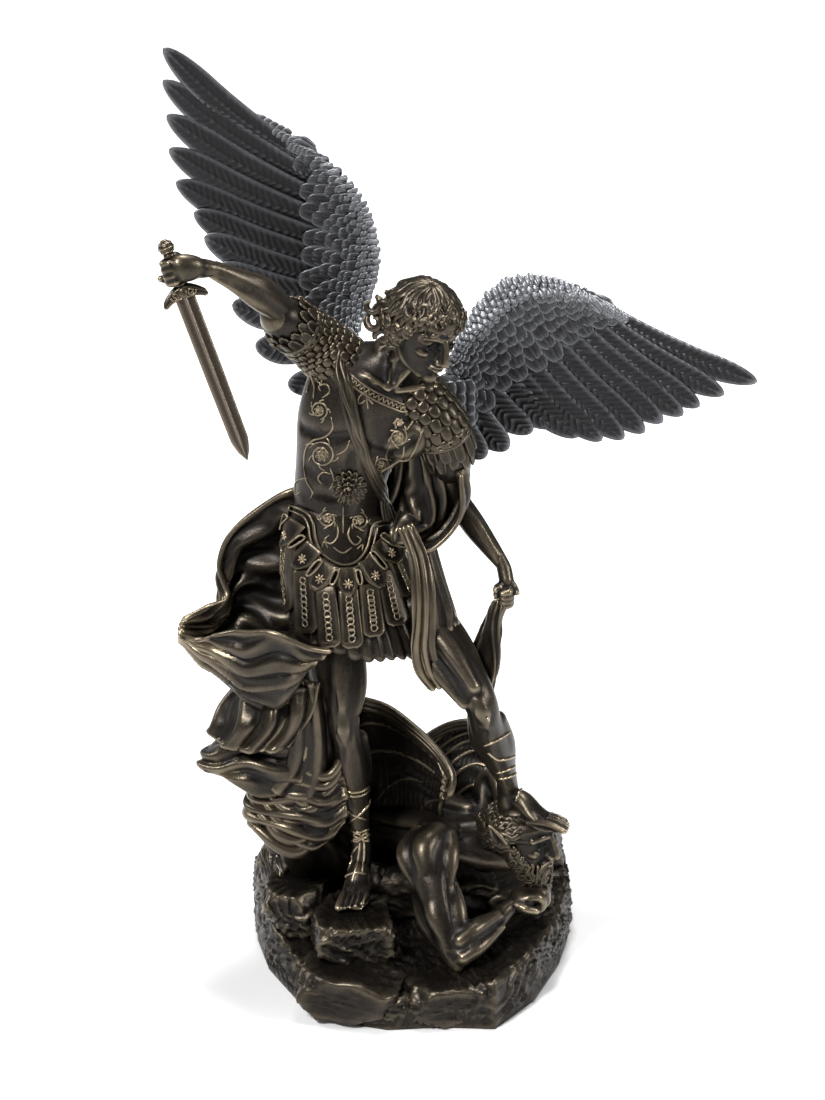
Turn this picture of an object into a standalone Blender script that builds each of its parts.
"""Standing statue of a winged archangel with raised sword over a fallen demon on rocks.

One casting holds the rocks, the fallen demon, the armoured figure and its cloak.
Two wings plug into sockets in the back and a sword passes through the closed fist.
"""

import math
import random

import bmesh
import bpy
import numpy as np
from mathutils import Matrix, Vector

# Driving sizes in metres
STATUE_HEIGHT = 0.571  # from the floor to the tip of the raised wing
BASE_WIDTH = 0.203
BASE_DEPTH = 0.220
BASE_HEIGHT = 0.030
CLOTH_THICKNESS = 0.0046
MEMBRANE_THICKNESS = 0.0042
FEATHER_THICKNESS = 0.0036
BLADE_LENGTH = 0.104
BLADE_WIDTH = 0.0115
BLADE_THICKNESS = 0.0042
GRIP_RADIUS = 0.0034
GRIP_LENGTH = 0.018
GUARD_SPAN = 0.026
GUARD_HEIGHT = 0.0042
GUARD_THICKNESS = 0.0084
GUARD_DROOP = 0.0055
POMMEL_RADIUS = 0.0044
POMMEL_DISTANCE = 0.026
ROOT_RADIUS = 0.0105
ROOT_DEPTH = 0.013
PEG_RADIUS = 0.005
PEG_LENGTH = 0.010
CLEARANCE = 0.0003

# Fineness of the casting's skin
CAST_VOXEL = 0.0017
CAST_FACES = 5700

# What repeats
STRAPS = 9
CURLS = 11
FLIGHT_FEATHERS = 13

# The bowed head: the middle of its skull in pose millimetres, and its own axes
HEAD_MIDDLE = (5, -15, 427)
HEAD_FORWARD = Vector((0.50, -0.835, -0.2195)).normalized()
HEAD_UP = Vector((0.20, -0.131, 0.972))
HEAD_UP = (HEAD_UP - HEAD_FORWARD * HEAD_UP.dot(HEAD_FORWARD)).normalized()

# The sword's line, from the middle of its guard to the point
GUARD_MIDDLE = (-128, -52, 460)
SWORD_DIRECTION = Vector((0.332, -0.076, -0.940)).normalized()

# The pose in its own millimetres: its ground, the middle of its base, and its rise above the ground
POSE_GROUND = 30.0
POSE_MIDDLE = 31.0
POSE_RISE = 541.0
FIGURE_SCALE = (STATUE_HEIGHT - BASE_HEIGHT) / POSE_RISE  # metres for one of those millimetres


def at(x, y, z):
    """A pose point, in millimetres on a base 30 mm high, as a point in metres."""
    height = BASE_HEIGHT + (z - POSE_GROUND) * FIGURE_SCALE
    return Vector((x * FIGURE_SCALE, (y - POSE_MIDDLE) * FIGURE_SCALE, height))


def clear_scene():
    for obj in list(bpy.data.objects):
        bpy.data.objects.remove(obj, do_unlink=True)


def new_collection(name, hidden=False):
    collection = bpy.data.collections.new(name)
    bpy.context.scene.collection.children.link(collection)
    collection.hide_render = hidden
    return collection


def material(name, colour, roughness, metallic):
    made = bpy.data.materials.new(name)
    made.use_nodes = True
    shader = made.node_tree.nodes["Principled BSDF"]
    shader.inputs["Base Color"].default_value = (*colour, 1.0)
    shader.inputs["Roughness"].default_value = roughness
    shader.inputs["Metallic"].default_value = metallic
    return made


def mesh_object(name, points, faces, collection):
    mesh = bpy.data.meshes.new(name)
    mesh.from_pydata([tuple(p) for p in points], [], faces)
    shape = bmesh.new()
    shape.from_mesh(mesh)
    bmesh.ops.remove_doubles(shape, verts=shape.verts, dist=1e-6)
    bmesh.ops.recalc_face_normals(shape, faces=shape.faces)
    shape.to_mesh(mesh)
    shape.free()
    obj = bpy.data.objects.new(name, mesh)
    collection.objects.link(obj)
    return obj


def smooth_through(values, count):
    """Catmull-Rom interpolation through rows of values, at count places."""
    rows = np.asarray(values, float)
    if len(rows) == 2:
        rows = np.vstack([rows[0], rows.mean(axis=0), rows[1]])
    padded = np.vstack([2 * rows[0] - rows[1], rows, 2 * rows[-1] - rows[-2]])
    spots = np.linspace(0, len(rows) - 1 - 1e-9, count)
    first = spots.astype(int)
    t = (spots - first)[:, None]
    a, b, c, d = (padded[first + k] for k in range(4))
    return 0.5 * (2 * b + (c - a) * t + (2 * a - 5 * b + 4 * c - d) * t**2
                  + (3 * b - a - 3 * c + d) * t**3)


def loft(name, stations, collection, side=(1, 0, 0), steps=5, around=14, bulge=1.0):
    """A round-ended solid through stations (x, y, z, half width, half depth), in pose mm."""
    rows = smooth_through(stations, (len(stations) - 1) * steps + 1)
    rows[:, 3:] = np.maximum(rows[:, 3:], 0.5)
    centres = np.array([at(*row[:3]) for row in rows])
    radii = rows[:, 3:] * FIGURE_SCALE
    along = np.gradient(centres, axis=0)
    along /= np.linalg.norm(along, axis=1)[:, None]
    across = np.asarray(side, float) - (along @ np.asarray(side, float))[:, None] * along
    across /= np.linalg.norm(across, axis=1)[:, None]
    outward = np.cross(along, across)
    # Rounded ends: three shrinking rings beyond each end
    turns = np.radians([30, 60, 80])
    caps = []
    for end, sign in ((0, -1), (-1, 1)):
        reach = radii[end].mean() * bulge
        for turn in turns:
            centre = centres[end] + sign * along[end] * reach * math.sin(turn)
            caps.append((centre, radii[end] * math.cos(turn), across[end], outward[end]))
    body = list(zip(centres, radii, across, outward))
    rings = caps[2::-1] + body + caps[3:]
    angles = np.linspace(0, 2 * math.pi, around, endpoint=False)
    points = []
    for centre, (wide, deep), right, front in rings:
        for angle in angles:
            points.append(centre + right * wide * math.cos(angle) + front * deep * math.sin(angle))
    faces = []
    for ring in range(len(rings) - 1):
        for k in range(around):
            nxt = (k + 1) % around
            faces.append((ring * around + k, ring * around + nxt,
                          (ring + 1) * around + nxt, (ring + 1) * around + k))
    faces.append(tuple(range(around)))
    last = (len(rings) - 1) * around
    faces.append(tuple(last + k for k in range(around)))
    return mesh_object(name, points, faces, collection)


def net_points(rows, down, across):
    """A net of pose points, resampled along its columns and then along its rows."""
    net = np.asarray(rows, float)
    columns = [smooth_through(net[:, k], down) for k in range(net.shape[1])]
    return np.array([smooth_through(line, across) for line in np.stack(columns, axis=1)])


def sheet(name, rows, collection, thickness, folds=0, depth=0.0):
    """A draped sheet: a rippled cage of pose points, subdivided and given its thickness."""
    across = max(len(rows[0]), 2 * folds + 1)
    cage = net_points(rows, max(len(rows), 5), across)
    normals = np.cross(np.gradient(cage, axis=0), np.gradient(cage, axis=1))
    normals /= np.linalg.norm(normals, axis=2)[:, :, None] + 1e-9
    if folds:
        cage = cage + normals * (depth * (-1.0) ** np.arange(across))[None, :, None]
    points = [at(*spot) for spot in cage.reshape(-1, 3)]
    faces = []
    for r in range(len(cage) - 1):
        for c in range(across - 1):
            k = r * across + c
            faces.append((k, k + 1, k + across + 1, k + across))
    obj = mesh_object(name, points, faces, collection)
    smooth = obj.modifiers.new("Smooth", "SUBSURF")
    smooth.levels = smooth.render_levels = 2
    wall = obj.modifiers.new("Wall", "SOLIDIFY")
    wall.thickness = thickness
    wall.offset = 0.0
    return obj


def boulder(name, centre, size, turn, seed, collection):
    """A rough block: a cube with seeded corners, in pose millimetres."""
    rng = random.Random(seed)
    shape = bmesh.new()
    bmesh.ops.create_cube(shape, size=1.0)
    bmesh.ops.subdivide_edges(shape, edges=shape.edges, cuts=1, use_grid_fill=True)
    for vertex in shape.verts:
        away = vertex.co.normalized()
        push = rng.uniform(0.86, 1.12) if vertex.co.length < 0.8 else rng.uniform(0.78, 0.98)
        vertex.co = vertex.co * push + away * rng.uniform(-0.02, 0.03)
    mesh = bpy.data.meshes.new(name)
    shape.to_mesh(mesh)
    shape.free()
    obj = bpy.data.objects.new(name, mesh)
    scale = Matrix.Diagonal((*(s * FIGURE_SCALE for s in size), 1.0))
    turned = Matrix.Rotation(math.radians(turn), 4, "Z")
    obj.matrix_world = Matrix.Translation(at(*centre)) @ turned @ scale
    collection.objects.link(obj)
    return obj


def rock_base(collection):
    """The rocks: a slab with an uneven outline and leaning walls, and blocks set on it."""
    outline = [
        (-15, -77, 20), (18, -74, 23), (50, -76, 31), (75, -42, 33), (92, 2, 33), (101, 45, 36),
        (99, 92, 40), (79, 124, 44), (40, 138, 46), (-6, 140, 48), (-50, 130, 48), (-84, 110, 46),
        (-102, 76, 44), (-99, 34, 40), (-90, -4, 30), (-72, -40, 26), (-48, -67, 22),
    ]
    across, along, _ = np.ptp(outline, axis=0)
    wide, deep = BASE_WIDTH / across, BASE_DEPTH / along
    points = []
    for share, top in ((1.0, -0.15), (1.015, 0.55), (0.97, 1.0), (0.86, 1.04)):
        for x, y, z in outline:
            level = BASE_HEIGHT * (z / POSE_GROUND if top > 0 else 1.0) * top
            points.append((x * wide * share, (y - POSE_MIDDLE) * deep * share, level))
    count = len(outline)
    faces = [tuple(range(count))]
    for ring in range(3):
        for k in range(count):
            nxt = (k + 1) % count
            faces.append((ring * count + k, ring * count + nxt,
                          (ring + 1) * count + nxt, (ring + 1) * count + k))
    points.append((0.0, 0.0, BASE_HEIGHT * 1.02))
    centre = len(points) - 1
    for k in range(count):
        faces.append((3 * count + k, 3 * count + (k + 1) % count, centre))
    mesh_object("base_slab", points, faces, collection)

    blocks = [
        ((-38, -26, 40), (48, 56, 30), 8), ((-72, 10, 42), (40, 48, 30), -14),
        ((-66, 52, 56), (56, 52, 48), 12), ((-80, 32, 50), (24, 30, 40), 30),
        ((-12, 34, 44), (60, 56, 34), 4), ((24, 30, 42), (52, 52, 30), 20),
        ((-30, 92, 58), (84, 62, 66), 6), ((34, 96, 54), (72, 58, 58), -10),
        ((76, 84, 42), (40, 56, 36), 16), ((-6, 66, 62), (70, 46, 56), 0),
        ((64, 40, 34), (50, 60, 24), 10), ((-30, -56, 22), (52, 34, 26), -12),
    ]
    for number, (centre, size, turn) in enumerate(blocks):
        boulder(f"boulder_{number}", centre, size, turn, number, collection)


def legs(collection):
    loft("right_leg", [
        (-46, 18, 268, 21, 21), (-44, 8, 232, 17, 17), (-42, -6, 196, 12.5, 13),
        (-41, -12, 174, 10.0, 11), (-39, -9, 160, 9.6, 10.5), (-37, -3, 140, 11.6, 12.5),
        (-34, 2, 115, 9.0, 9.5), (-32, 4, 92, 6.2, 7.0), (-31, 4, 80, 6.6, 7.5),
    ], collection)
    loft("right_foot", [
        (-31, 12, 68, 5.5, 7), (-32, 2, 69, 7, 9), (-35, -12, 65, 8, 7),
        (-38, -24, 62, 10, 4.5), (-39, -32, 60, 9, 3.4),
    ], collection)
    loft("left_leg", [
        (-22, 20, 266, 21, 21), (-2, 4, 247, 18.5, 18), (22, -16, 224, 15, 15),
        (35, -30, 208, 12.5, 13), (41, -34, 197, 11, 12), (44, -28, 182, 10.5, 11.5),
        (48, -16, 164, 12.4, 13), (54, -5, 144, 9.4, 10), (58, 2, 130, 7.2, 8),
        (59, 5, 121, 7.0, 8),
    ], collection)
    loft("left_foot", [
        (56, 10, 112, 6, 6), (62, 2, 114, 7.5, 8), (75, -8, 114, 8, 7),
        (88, -17, 113, 8.5, 5), (96, -23, 113, 7.5, 3.6),
    ], collection, side=(0.5, 0.8, 0))


def trunk(collection):
    lean = (0.93, 0.0, -0.36)
    loft("torso", [
        (-35, 20, 262, 27, 22), (-38, 20, 285, 27, 22), (-44, 18, 306, 26, 21),
        (-41, 14, 333, 28, 23), (-34, 10, 359, 34, 26), (-24, 8, 380, 37, 25),
        (-17, 7, 392, 28, 20), (-11, 4, 402, 16, 14),
    ], collection, side=lean, around=20)
    loft("neck", [(-14, 4, 392, 14, 13), (-4, -3, 407, 11.5, 12), (4, -8, 418, 11, 12)], collection)
    # Tunic under a skirt of straps, spreading from the belt to the hem
    loft("skirt", [
        (-42, 18, 306, 28, 22), (-38, 14, 285, 33, 27), (-32, 8, 258, 39, 32),
        (-27, 3, 240, 41, 35), (-25, 1, 231, 42, 36),
    ], collection, side=(0.97, 0, -0.2), around=24, bulge=0.15)
    for k in range(STRAPS):
        turn = math.radians(-163 + 17.5 * k)
        right, front = math.cos(turn), math.sin(turn)
        drop = 4.0 * right
        top = (-39 + 32 * right, 15 + 27 * front, 284 - 2 * drop)
        middle = (-33 + 40 * right, 8 + 34 * front, 262 - 1.5 * drop)
        low = (-28 + 43.5 * right, 3 + 38 * front, 243 + 3 * front - drop)
        side = (-front, right, 0)
        loft(f"strap_{k}", [(*top, 4.4, 2.6), (*middle, 5.0, 3.0), (*low, 5.6, 3.0)],
             collection, side=side, around=8)
    # The tunic's hem thrown over the left thigh
    sheet("tunic_flap", [
        [(-14, -6, 300), (-10, -14, 301), (4, -16, 284), (19, -10, 258)],
        [(-12, -22, 286), (-4, -24, 282), (6, -24, 266), (16, -16, 250)],
        [(-10, -30, 256), (-4, -30, 256), (6, -28, 250), (12, -20, 242)],
    ], collection, CLOTH_THICKNESS)


def arms(collection):
    loft("right_sleeve", [
        (-44, 10, 397, 17, 16), (-57, 7, 411, 14.5, 14), (-68, -3, 423, 13.5, 13.5),
        (-78, -14, 434, 12, 12), (-84, -20, 440, 11, 11),
    ], collection, side=(0, 1, 0))
    loft("right_forearm", [
        (-74, -12, 436, 9, 9), (-86, -26, 451, 8, 8), (-98, -35, 461, 6.8, 7.2),
        (-113, -45, 471, 5, 5.2), (-120, -49, 472.5, 6, 6),
    ], collection, side=(0, 1, 0))
    loft("right_fist", [
        (-114, -47, 474, 7, 7), (-122, -50, 474, 10, 9), (-130, -52, 472, 10.5, 9),
        (-135, -53, 470, 8, 8),
    ], collection, side=(-0.33, 0.08, 0.94))
    pommel = at(*GUARD_MIDDLE) - SWORD_DIRECTION * POMMEL_DISTANCE
    ball = bmesh.new()
    bmesh.ops.create_uvsphere(ball, u_segments=12, v_segments=8, radius=POMMEL_RADIUS)
    bmesh.ops.translate(ball, verts=ball.verts, vec=pommel)
    mesh = bpy.data.meshes.new("pommel")
    ball.to_mesh(mesh)
    ball.free()
    collection.objects.link(bpy.data.objects.new("pommel", mesh))
    loft("left_sleeve", [
        (2, 8, 376, 18, 17), (14, 5, 362, 15.5, 15), (20, 9, 345, 14, 14),
        (22, 12, 330, 12, 12), (24, 14, 318, 10, 10),
    ], collection)
    loft("left_arm", [
        (21, 12, 326, 9, 9), (28, 18, 305, 8.5, 8.5), (37, 13, 293, 7.6, 7.6),
        (48, 5, 280, 6.0, 6.0), (56, -1, 270, 5.2, 5.2), (56, -4, 262, 6, 6),
    ], collection)
    loft("left_fist", [
        (56, -4, 264, 7, 6), (55, -7, 255, 7.5, 7), (53, -9, 247, 6, 6),
    ], collection)


def head_place(forward, rise, right=0.0):
    """A point of the bowed head, in its own millimetres from the middle of the skull."""
    spot = (Vector(HEAD_MIDDLE) + HEAD_FORWARD * forward + HEAD_UP * rise
            + HEAD_FORWARD.cross(HEAD_UP) * right)
    return tuple(spot)


def head(collection):
    right = tuple(HEAD_FORWARD.cross(HEAD_UP))
    skull = [
        (12, -22, 6, 5), (9, -18, 12, 11), (6, -12, 14.5, 16), (3, -4, 17, 20), (1, 4, 18, 21),
        (-1, 11, 18.5, 22), (-3, 17, 16, 19),
    ]
    loft("skull", [(*head_place(f, u), w, d) for f, u, w, d in skull], collection,
         side=right, around=16, bulge=0.5)
    loft("nose", [(*head_place(22, 4), 2.6, 3), (*head_place(25.5, -5), 3.8, 4)], collection,
         side=right, steps=2, around=8)
    hair = [(-9, -14, 19, 13), (-8, -4, 22, 17), (-5, 8, 23.5, 23), (-4, 17, 19, 21)]
    loft("hair_cap", [(*head_place(f, u), w, d) for f, u, w, d in hair], collection,
         side=right, around=16, bulge=0.55)
    # Curls round the face, and a tuft blown back from the right temple
    for k in range(CURLS):
        turn = math.radians(-126 + 252 * k / (CURLS - 1))
        size = 6.4 - 0.8 * math.cos(turn)
        centre = head_place(6 + 10 * math.cos(turn / 2), 17.5 * math.cos(turn) - 1, 21 * math.sin(turn))
        tail = head_place(12 + 10 * math.cos(turn / 2), 15 * math.cos(turn) - 3, 18 * math.sin(turn))
        loft(f"curl_{k}", [(*centre, size, size), (*tail, size * 0.7, size * 0.7)], collection,
             steps=2, around=10)
    for k, (x, y, z, size) in enumerate(
            [(-20, -8, 431, 6.5), (-24, -6, 437, 5.5), (-19, -4, 421, 6), (-11, -2, 430, 8),
             (-9, 2, 418, 9), (2, 10, 418, 10), (14, 8, 420, 10), (25, 0, 424, 8)]):
        loft(f"nape_curl_{k}", [(x, y, z, size, size), (x, y, z - 2, size, size)], collection,
             steps=2, around=10)


def cloak(collection):
    # The scoop that billows beside the right hip: each row crosses it like a hammock
    sheet("cloak_scoop", [
        [(-138, 2, 237), (-140, 0, 233), (-140, -5, 229), (-140, -9, 229), (-139, -12, 233)],
        [(-122, 14, 241), (-127, 18, 224), (-127, 0, 214), (-127, -14, 219), (-128, -20, 234)],
        [(-113, 20, 246), (-119, 27, 226), (-117, 4, 207), (-117, -20, 217), (-117, -29, 241)],
        [(-117, 27, 263), (-114, 35, 232), (-108, 6, 198), (-107, -25, 214), (-106, -37, 247)],
        [(-109, 32, 283), (-104, 40, 240), (-99, 8, 188), (-97, -28, 208), (-96, -42, 249)],
        [(-87, 34, 301), (-87, 42, 242), (-84, 8, 179), (-80, -32, 205), (-80, -48, 251)],
        [(-72, 34, 309), (-72, 42, 246), (-69, 8, 183), (-67, -34, 211), (-64, -50, 243)],
        [(-60, 36, 307), (-58, 42, 246), (-57, 6, 188), (-54, -34, 214), (-48, -46, 236)],
    ], collection, CLOTH_THICKNESS)
    # Gathered folds between the scoop and the rocks
    loft("cloak_fall", [
        (-76, 22, 200, 24, 18), (-78, 24, 176, 28, 22), (-78, 24, 150, 32, 24),
        (-72, 26, 120, 28, 26), (-68, 32, 92, 28, 28), (-60, 38, 70, 28, 26),
    ], collection, side=(1, 0.2, 0), around=18)
    sheet("cloak_swag_high", [
        [(-94, 34, 190), (-104, 6, 190), (-87, -8, 192), (-71, -12, 198), (-55, -14, 203)],
        [(-106, 34, 174), (-116, 8, 173), (-98, -16, 177), (-77, -20, 181), (-60, -18, 183)],
        [(-108, 32, 160), (-122, 4, 160), (-110, -14, 158), (-91, -22, 160), (-74, -20, 162)],
    ], collection, CLOTH_THICKNESS)
    sheet("cloak_swag_middle", [
        [(-104, 36, 160), (-117, 14, 157), (-104, -4, 160), (-80, -8, 164), (-60, -12, 172)],
        [(-106, 36, 148), (-127, 10, 143), (-108, -12, 147), (-83, -18, 148), (-65, -16, 149)],
        [(-102, 34, 136), (-130, 6, 137), (-112, -12, 137), (-92, -14, 126), (-69, -12, 130)],
    ], collection, CLOTH_THICKNESS)
    sheet("cloak_swag_low", [
        [(-92, 30, 128), (-97, 0, 122), (-78, -12, 126), (-56, -14, 134), (-40, -8, 142)],
        [(-96, 30, 112), (-101, 2, 108), (-80, -16, 110), (-58, -18, 112), (-40, -12, 124)],
        [(-90, 30, 96), (-98, 4, 97), (-78, -14, 98), (-60, -14, 90), (-41, -10, 107)],
    ], collection, CLOTH_THICKNESS)
    # The back of the cloak, from the shoulders down to the rocks
    sheet("cloak_back", [
        [(-38, 30, 394), (-28, 32, 395), (-16, 33, 394), (-6, 33, 390), (2, 31, 386)],
        [(-44, 36, 356), (-32, 40, 356), (-20, 40, 354), (-8, 39, 352), (2, 36, 350)],
        [(-66, 42, 310), (-50, 48, 306), (-34, 48, 304), (-18, 46, 302), (-4, 40, 300)],
        [(-82, 46, 262), (-66, 58, 256), (-50, 60, 254), (-34, 54, 254), (-22, 44, 256)],
        [(-88, 50, 208), (-74, 66, 204), (-58, 70, 202), (-44, 62, 202), (-36, 48, 206)],
        [(-90, 54, 150), (-78, 76, 146), (-60, 82, 144), (-46, 72, 146), (-38, 52, 150)],
        [(-84, 58, 96), (-72, 82, 92), (-54, 86, 90), (-38, 78, 92), (-30, 58, 96)],
        [(-72, 58, 62), (-62, 76, 60), (-48, 82, 58), (-34, 76, 60), (-26, 60, 64)],
    ], collection, CLOTH_THICKNESS + 0.003, folds=4, depth=3.4)
    loft("cloak_lining", [
        (-50, 40, 256, 24, 14), (-54, 44, 222, 24, 16), (-60, 46, 180, 22, 20),
        (-60, 48, 140, 24, 22), (-56, 50, 100, 28, 24), (-50, 52, 70, 30, 24),
    ], collection, around=18)
    # The sash across the breastplate, three rolled folds
    for k in range(3):
        shift = 4.6 * (k - 1)
        loft(f"sash_{k}", [
            (-36 + shift, 14, 403 - 0.3 * shift, 3.4, 4), (-40 + shift, -8, 396, 3.4, 3.6),
            (-37 + shift, -19, 376, 3.2, 3.4), (-29 + shift, -20, 352, 3.2, 3.4),
            (-21 + shift, -17, 332, 3.4, 3.6), (-11 + shift, -12, 314, 3.8, 4),
            (-3 + shift, -6, 300, 4.2, 4.4),
        ], collection, side=(0.9, 0, 0.4), around=10)
    # Cloth bunched between the waist and the left arm, and over its elbow
    loft("arm_folds", [
        (6, 14, 350, 14, 11), (9, 14, 330, 15, 12), (9, 12, 312, 15, 12), (2, 8, 298, 12, 12),
        (-6, 0, 292, 8, 9),
    ], collection, around=14)
    sheet("arm_cloth", [
        [(27, 26, 348), (31, 10, 340), (28, -5, 332)],
        [(24, 28, 326), (32, 10, 316), (27, -10, 306)],
        [(10, 24, 302), (19, 4, 293), (12, -16, 290)],
        [(0, 18, 290), (2, 0, 284), (-4, -18, 290)],
    ], collection, CLOTH_THICKNESS)
    # Its end falls in folds down the left hip and thigh
    for k in range(2):
        loft(f"hip_cloth_{k}", [
            (-4 + 3 * k, -14, 299 - 3 * k, 4.5, 5), (0 + 5 * k, -22, 283 - 2 * k, 5, 6),
            (5 + 6 * k, -27, 266, 5.2, 6), (6 + 7 * k, -28, 248, 5, 6),
            (6 + 7 * k, -27, 232, 5, 6), (10 + 8 * k, -24, 212 + 2 * k, 4.4, 5),
            (18 + 8 * k, -25, 203, 2.6, 3),
        ], collection, side=(0.9, 0.4, 0), around=10)
    loft("hand_cloth", [
        (52, -8, 252, 5, 5), (49, -10, 240, 6, 4.5), (46, -13, 222, 8, 4.5),
        (44, -16, 206, 6, 4.5), (45, -20, 196, 4, 4),
    ], collection)


def demon(collection):
    loft("demon_trunk", [
        (52, 14, 84, 14, 13), (38, 16, 82, 22, 18), (20, 26, 80, 24, 19),
        (-2, 42, 76, 22, 18), (-22, 58, 72, 20, 17), (-36, 74, 72, 19, 16),
    ], collection, side=(0.5, 0.86, 0), around=16)
    loft("demon_left_arm", [
        (16, -2, 88, 13, 13), (12, -16, 80, 12.5, 12.5), (18, -32, 62, 11, 11),
        (24, -46, 42, 8, 8), (27, -50, 35, 7.5, 7.5),
    ], collection)
    loft("demon_left_forearm", [
        (27, -49, 36, 8, 8), (38, -38, 40, 8.5, 8), (54, -24, 42, 7, 7), (66, -13, 44, 5, 5),
        (74, -6, 48, 6.5, 5), (82, -2, 52, 6.5, 5),
    ], collection)
    loft("demon_right_arm", [
        (44, 30, 92, 10, 10), (46, 38, 108, 8, 8), (49, 38, 118, 6.5, 6.5),
        (54, 28, 112, 6, 6), (56, 20, 104, 5, 5),
    ], collection)
    loft("demon_head", [
        (56, 12, 88, 11, 11), (66, 9, 86, 17, 17), (76, 4, 84, 17, 18), (84, 1, 82, 11, 14),
    ], collection, side=(0, 0.3, 0.95))
    loft("demon_jaw", [
        (70, 4, 72, 10, 12), (80, 0, 66, 9, 9), (84, -1, 60, 6, 6), (85, -1, 54, 3.5, 3.5),
    ], collection)
    loft("demon_nose", [(86, 0, 86, 3, 4), (91, -2, 80, 3, 3.4)], collection, steps=2, around=8)
    loft("demon_ear", [(63, -11, 84, 3, 4.5), (59, -12, 91, 2.8, 4), (55, -10, 99, 1.2, 1.8)],
         collection, around=8)
    loft("demon_thigh", [
        (-30, 74, 72, 15, 15), (-8, 92, 80, 14, 14), (16, 104, 88, 11, 11), (24, 106, 84, 9, 9),
    ], collection)
    loft("demon_shin", [
        (24, 106, 84, 9, 9), (44, 104, 72, 9.5, 9.5), (62, 98, 62, 6, 6), (74, 92, 58, 6, 5),
        (86, 84, 58, 7, 4),
    ], collection)
    # Leathery wings with finger bones
    sheet("demon_near_wing", [
        [(-44, 60, 156), (-34, 56, 156), (-18, 46, 155), (0, 30, 149), (14, 17, 141), (21, 6, 131)],
        [(-40, 56, 134), (-28, 50, 136), (-12, 38, 134), (2, 26, 129), (13, 15, 124), (20, 7, 122)],
        [(-36, 54, 112), (-22, 46, 114), (-8, 36, 112), (4, 26, 110), (13, 18, 108), (19, 10, 112)],
        [(-30, 52, 92), (-16, 44, 92), (-4, 36, 92), (6, 28, 92), (13, 22, 94), (18, 14, 100)],
    ], collection, MEMBRANE_THICKNESS, folds=3, depth=1.6)
    loft("demon_near_arm", [
        (-42, 60, 156, 3, 3), (-18, 46, 156, 3.2, 3.2), (0, 30, 150, 3.4, 3.4),
        (15, 16, 141, 3.4, 3.4), (24, 4, 133, 3.0, 3.0), (22, 1, 122, 1.4, 1.4),
    ], collection, around=8)
    sheet("demon_far_wing", [
        [(4, 60, 124), (14, 62, 131), (26, 62, 137), (38, 60, 138), (50, 56, 130)],
        [(4, 56, 112), (14, 58, 118), (26, 56, 122), (38, 54, 122), (48, 48, 116)],
        [(4, 52, 98), (14, 52, 102), (26, 48, 106), (36, 46, 104), (45, 42, 100)],
        [(6, 46, 82), (14, 44, 84), (24, 42, 86), (34, 38, 86), (42, 36, 86)],
    ], collection, MEMBRANE_THICKNESS, folds=3, depth=1.6)
    loft("demon_far_arm", [
        (0, 60, 122, 3, 3), (14, 62, 132, 3.2, 3.2), (27, 62, 138, 3.2, 3.2),
        (40, 60, 138, 3, 3), (52, 54, 128, 2, 2),
    ], collection, around=8)


# Wings: each sits on a seat of the back, given by its x and z, and the plane of the seats in y
RIGHT_SEAT = (-38, 390)
LEFT_SEAT = (22, 366)
SEAT_PLANE = 45.0

# Two curves carry the feathers: the arm of the wing, from its seat, and the row of feather tips
RIGHT_ARM_LINE = [
    (RIGHT_SEAT[0], SEAT_PLANE + 6, RIGHT_SEAT[1] + 2),
    (-30, 58, 420), (-25, 61, 453), (-39, 61, 490), (-76, 56, 525),
]
RIGHT_TIP_LINE = [
    (-62, 53, 352), (-92, 52, 387), (-109, 52, 422), (-120, 51, 452), (-128, 50, 472),
    (-139, 49, 496), (-142, 45, 523), (-143, 40, 551), (-142, 35, 577),
]
LEFT_ARM_LINE = [
    (LEFT_SEAT[0] - 2, SEAT_PLANE + 6, LEFT_SEAT[1] + 5),
    (34, 57, 402), (58, 61, 427), (89, 58, 429), (118, 51, 417),
]
LEFT_TIP_LINE = [
    (34, 53, 318), (57, 52, 325), (80, 50, 342), (102, 46, 336), (123, 40, 337),
    (142, 35, 345), (160, 30, 355), (176, 25, 366), (204, 15, 382),
]


def curve_at(points, shares):
    """A smooth curve through points, read at shares of its run from 0 to 1."""
    rows = np.asarray(points, float)
    padded = np.vstack([2 * rows[0] - rows[1], rows, 2 * rows[-1] - rows[-2]])
    spots = np.clip(np.asarray(shares) * (len(rows) - 1), 0, len(rows) - 1 - 1e-9)
    first = spots.astype(int)
    t = (spots - first)[:, None]
    a, b, c, d = (padded[first + k] for k in range(4))
    return 0.5 * (2 * b + (c - a) * t + (2 * a - 5 * b + 4 * c - d) * t**2
                  + (3 * b - a - 3 * c + d) * t**3)


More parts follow.
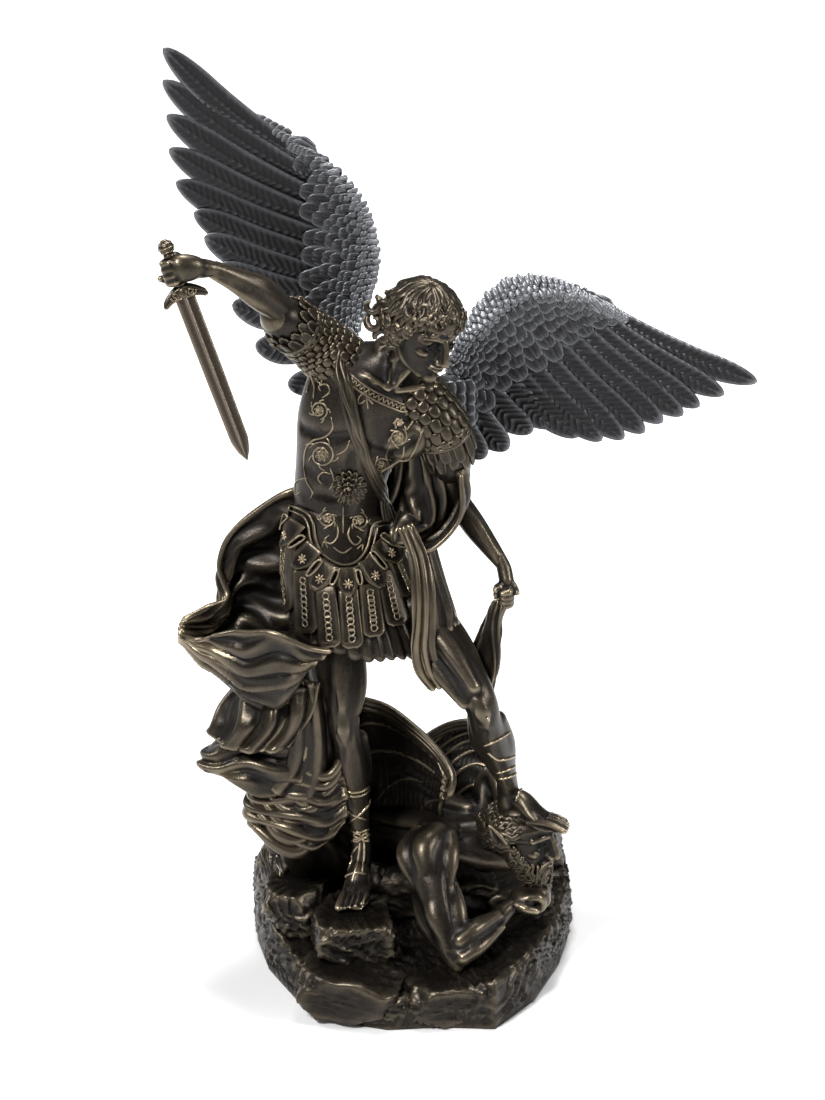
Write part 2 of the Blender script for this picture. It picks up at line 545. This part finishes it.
def wing_shell(name, arm_line, tip_line, collection):
    """A feathered wing: rows run from the arm out to the tips, columns cross each feather."""
    places = np.array([0.04, 0.34, 0.66, 0.96])
    across = np.tile(places, FLIGHT_FEATHERS)
    shares = (np.repeat(np.arange(FLIGHT_FEATHERS), len(places)) + across) / FLIGHT_FEATHERS
    arm = curve_at(arm_line, shares)
    tips = curve_at(tip_line, shares)
    bow = 1 - (2 * across - 1) ** 2
    # Share of the feather's length, half thickness and scallop of each row
    vane = FEATHER_THICKNESS / FIGURE_SCALE / 2
    rows = [
        (-0.035, 1.2, 0), (0.05, vane + 3.0, 0), (0.24, vane + 1.8, 0.05), (0.27, vane + 1.1, 0.05),
        (0.46, vane + 0.9, 0.06), (0.495, vane + 0.1, 0.06), (0.78, vane, 0), (1.0, 0.9, 0),
    ]
    normal = np.cross(np.gradient(tips + arm, axis=0), tips - arm)
    normal *= -np.sign(normal[:, 1:2])
    normal /= np.linalg.norm(normal, axis=1)[:, None]
    front, back = [], []
    for share, half, scallop in rows:
        covered = share * (1 - (shares if share < 0 else 0.5 * shares**3)) if share < 0.6 else share
        length = covered + scallop * bow * (1 - 0.4 * shares)
        if share == 1.0:
            length = 1 - 0.13 * (1 - bow)
        tilt = 1.6 * (across - 0.5) * min(1.0, 4 * abs(share))
        camber = tilt - 4.0 * np.sin(np.pi * np.clip(length, 0, 1))
        middle = arm + (tips - arm) * length[:, None] + normal * camber[:, None]
        thick = vane + (half - vane) * (1 - 0.7 * shares**2) if half > vane else half + 0 * shares
        front.append(middle + normal * thick[:, None])
        back.append(middle - normal * thick[:, None])
    count = len(shares)
    points = [at(*spot) for spot in np.concatenate(front + back)]
    half_count = len(rows) * count
    faces = []
    for r in range(len(rows) - 1):
        for c in range(count - 1):
            k = r * count + c
            faces.append((k, k + 1, k + count + 1, k + count))
            faces.append(tuple(half_count + v for v in (k, k + count, k + count + 1, k + 1)))
        for c in (0, count - 1):
            k = r * count + c
            faces.append((k, k + count, half_count + k + count, half_count + k))
    for r in (0, len(rows) - 1):
        for c in range(count - 1):
            k = r * count + c
            faces.append((k, k + 1, half_count + k + 1, half_count + k))
    return mesh_object(name, points, faces, collection)


def cone(name, start, end, radii, collection, sides=16):
    """A capped cone or cylinder between two points."""
    start, end = Vector(start), Vector(end)
    shape = bmesh.new()
    bmesh.ops.create_cone(shape, cap_ends=True, segments=sides, radius1=radii[0],
                          radius2=radii[1], depth=(end - start).length)
    mesh = bpy.data.meshes.new(name)
    shape.to_mesh(mesh)
    shape.free()
    obj = bpy.data.objects.new(name, mesh)
    turned = (end - start).to_track_quat("Z", "Y").to_matrix().to_4x4()
    obj.matrix_world = Matrix.Translation((start + end) / 2) @ turned
    collection.objects.link(obj)
    return obj


def rod(name, start, end, radius, collection, sides=16):
    """A cylinder between two points."""
    return cone(name, start, end, (radius, radius), collection, sides)


def seats(collection):
    """Bosses on the back that the wings meet."""
    for name, (x, z) in (("right", RIGHT_SEAT), ("left", LEFT_SEAT)):
        loft(f"{name}_boss", [(x, 14, z, 15, 15), (x, 34, z, 13.5, 13.5), (x, 42, z, 12, 12)],
             collection, around=14)


def joined(name, collection, target):
    """All the meshes of a collection as one object, modifiers included."""
    graph = bpy.context.evaluated_depsgraph_get()
    shape = bmesh.new()
    for obj in collection.objects:
        mesh = bpy.data.meshes.new_from_object(obj.evaluated_get(graph))
        mesh.transform(obj.matrix_world)
        shape.from_mesh(mesh)
        bpy.data.meshes.remove(mesh)
    mesh = bpy.data.meshes.new(name)
    shape.to_mesh(mesh)
    shape.free()
    made = bpy.data.objects.new(name, mesh)
    target.objects.link(made)
    return made


def evaluated_mesh(obj):
    bpy.context.view_layer.update()
    graph = bpy.context.evaluated_depsgraph_get()
    return bpy.data.meshes.new_from_object(obj.evaluated_get(graph))


def largest_shell(mesh):
    """Keeps the outer shell, so that no sealed hollow is left inside the casting."""
    shape = bmesh.new()
    shape.from_mesh(mesh)
    shape.verts.ensure_lookup_table()
    seen = np.zeros(len(shape.verts), bool)
    best = []
    for start in range(len(seen)):
        if seen[start]:
            continue
        seen[start] = True
        shell = [start]
        for index in shell:
            for edge in shape.verts[index].link_edges:
                other = edge.other_vert(shape.verts[index]).index
                if not seen[other]:
                    seen[other] = True
                    shell.append(other)
        if len(shell) > len(best):
            best = shell
    keep = set(best)
    spare = [v for v in shape.verts if v.index not in keep]
    bmesh.ops.delete(shape, geom=spare, context="VERTS")
    shape.to_mesh(mesh)
    shape.free()
    return mesh


def cast(name, forms, target, voxel, faces):
    """Fuses overlapping forms into one skin, as a mould would, and thins its faces."""
    obj = joined(name, forms, target)
    fuse = obj.modifiers.new("Fuse", "REMESH")
    fuse.mode = "VOXEL"
    fuse.voxel_size = voxel
    fused = largest_shell(evaluated_mesh(obj))
    obj.modifiers.clear()
    obj.data = fused
    soften = obj.modifiers.new("Soften", "SMOOTH")
    soften.factor = 0.5
    soften.iterations = 2
    thin = obj.modifiers.new("Thin", "DECIMATE")
    thin.ratio = min(1.0, faces / (2 * len(fused.polygons)))
    obj.data = evaluated_mesh(obj)
    obj.modifiers.clear()
    return obj


def cut(obj, cutter, name):
    cutter.hide_render = True
    cutter.display_type = "WIRE"
    trim = obj.modifiers.new(name, "BOOLEAN")
    trim.operation = "DIFFERENCE"
    trim.object = cutter


def unite(obj, other, name):
    other.hide_render = True
    other.display_type = "WIRE"
    weld = obj.modifiers.new(name, "BOOLEAN")
    weld.operation = "UNION"
    weld.object = other


def box_cutter(name, low, high, collection):
    shape = bmesh.new()
    bmesh.ops.create_cube(shape, size=1.0)
    mesh = bpy.data.meshes.new(name)
    shape.to_mesh(mesh)
    shape.free()
    obj = bpy.data.objects.new(name, mesh)
    low, high = Vector(low), Vector(high)
    obj.matrix_world = Matrix.Translation((low + high) / 2) @ Matrix.Diagonal((*(high - low), 1.0))
    collection.objects.link(obj)
    return obj


def ring_loft(name, rings, collection):
    """A solid from rings of the same number of points, capped at both ends."""
    count = len(rings[0])
    points = [spot for ring in rings for spot in ring]
    last = (len(rings) - 1) * count
    faces = [tuple(range(count)), tuple(range(last, last + count))]
    for ring in range(len(rings) - 1):
        for k in range(count):
            nxt = (k + 1) % count
            faces.append((ring * count + k, ring * count + nxt,
                          (ring + 1) * count + nxt, (ring + 1) * count + k))
    return mesh_object(name, points, faces, collection)


def sword(collection, cutters):
    """Ridged blade and drooping guard, with a round grip that plugs into the fist."""
    guard_spot = at(*GUARD_MIDDLE)
    down = SWORD_DIRECTION
    flat = Vector((0.93, 0.12, 0.32))
    flat = (flat - down * flat.dot(down)).normalized()
    face = down.cross(flat)
    profile = [(0.002, 1.0), (BLADE_LENGTH * 0.5, 0.97), (BLADE_LENGTH * 0.88, 0.9),
               (BLADE_LENGTH * 0.96, 0.5), (BLADE_LENGTH, 0.12)]
    rings = []
    for distance, share in profile:
        spot = guard_spot + down * distance
        wide, thick = BLADE_WIDTH / 2 * share, BLADE_THICKNESS / 2 * (0.4 + 0.6 * share)
        rings.append([spot + flat * wide, spot + face * thick,
                      spot - flat * wide, spot - face * thick])
    blade = ring_loft("sword", rings, collection)

    rings = []
    for stop in np.linspace(-1, 1, 9):
        spot = guard_spot + flat * stop * GUARD_SPAN / 2 + down * GUARD_DROOP * stop**2
        tall = GUARD_HEIGHT * (1 - 0.6 * abs(stop) ** 1.5)
        thick = GUARD_THICKNESS / 2 * (1 - 0.45 * stop**2)
        turns = np.linspace(0, 2 * math.pi, 8, endpoint=False)
        rings.append([spot + down * tall * math.cos(t) + face * thick * math.sin(t) for t in turns])
    guard = ring_loft("sword_guard", rings, cutters)
    grip = rod("sword_grip", guard_spot, guard_spot - down * GRIP_LENGTH, GRIP_RADIUS, cutters)
    unite(blade, guard, "Guard")
    unite(blade, grip, "Grip")
    return blade


def sword_room(cutters):
    """The fist's bore for the grip, and the room above the guard, each with clearance."""
    guard_spot = at(*GUARD_MIDDLE)
    down = SWORD_DIRECTION
    bore = rod("grip_bore", guard_spot - down * (GRIP_LENGTH + CLEARANCE), guard_spot + down * 0.01,
               GRIP_RADIUS + CLEARANCE, cutters)
    room = rod("guard_room", guard_spot - down * (GUARD_HEIGHT + CLEARANCE),
               guard_spot + down * 0.02, GUARD_SPAN / 2 + 0.003, cutters, 24)
    return bore, room


def main():
    clear_scene()
    statue = new_collection("archangel_statue")
    cutters = new_collection("cutters", hidden=True)
    forms = new_collection("figure_forms", hidden=True)
    bronze = material("dark_bronze", (0.060, 0.048, 0.036), 0.42, 0.75)
    wing_bronze = material("wing_bronze", (0.060, 0.063, 0.070), 0.45, 0.70)
    blade_metal = material("blade_metal", (0.16, 0.125, 0.095), 0.32, 0.90)

    for build in (rock_base, legs, trunk, arms, head, cloak, demon, seats):
        build(forms)
    group = cast("statue_group", forms, statue, CAST_VOXEL, CAST_FACES)
    group.data.materials.append(bronze)
    for obj in list(forms.objects):
        bpy.data.objects.remove(obj, do_unlink=True)

    floor = box_cutter("floor_cut", (-0.3, -0.3, -0.05), (0.3, 0.4, 0.0), cutters)
    cut(group, floor, "FlatUnderside")
    for number, tool in enumerate(sword_room(cutters)):
        cut(group, tool, f"SwordRoom{number}")

    wings = (
        ("right_wing", RIGHT_ARM_LINE, RIGHT_TIP_LINE, RIGHT_SEAT),
        ("left_wing", LEFT_ARM_LINE, LEFT_TIP_LINE, LEFT_SEAT),
    )
    reach = Vector((0, PEG_LENGTH, 0))
    gap = Vector((0, CLEARANCE, 0))
    room = Vector((0.018, 0, 0.018))
    for name, arm_line, tip_line, (x, z) in wings:
        wing = wing_shell(name, arm_line, tip_line, statue)
        wing.data.materials.append(wing_bronze)
        seat = at(x, SEAT_PLANE, z)
        root = cone(f"{name}_root", seat, seat + ROOT_DEPTH * Vector((0, 1, 0)),
                    (ROOT_RADIUS, ROOT_RADIUS * 0.75), cutters)
        peg = rod(f"{name}_peg", seat - reach, seat + reach * 0.4, PEG_RADIUS, cutters)
        unite(root, peg, "Peg")
        unite(wing, root, "Root")
        socket = rod(f"{name}_socket", seat - reach - gap, seat + reach,
                     PEG_RADIUS + CLEARANCE, cutters)
        cut(group, socket, f"{name}Socket")
        clear = box_cutter(f"{name}_seat", seat - room - gap, seat + room + 2 * reach, cutters)
        cut(group, clear, f"{name}Seat")

    blade = sword(statue, cutters)
    blade.data.materials.append(blade_metal)


main()
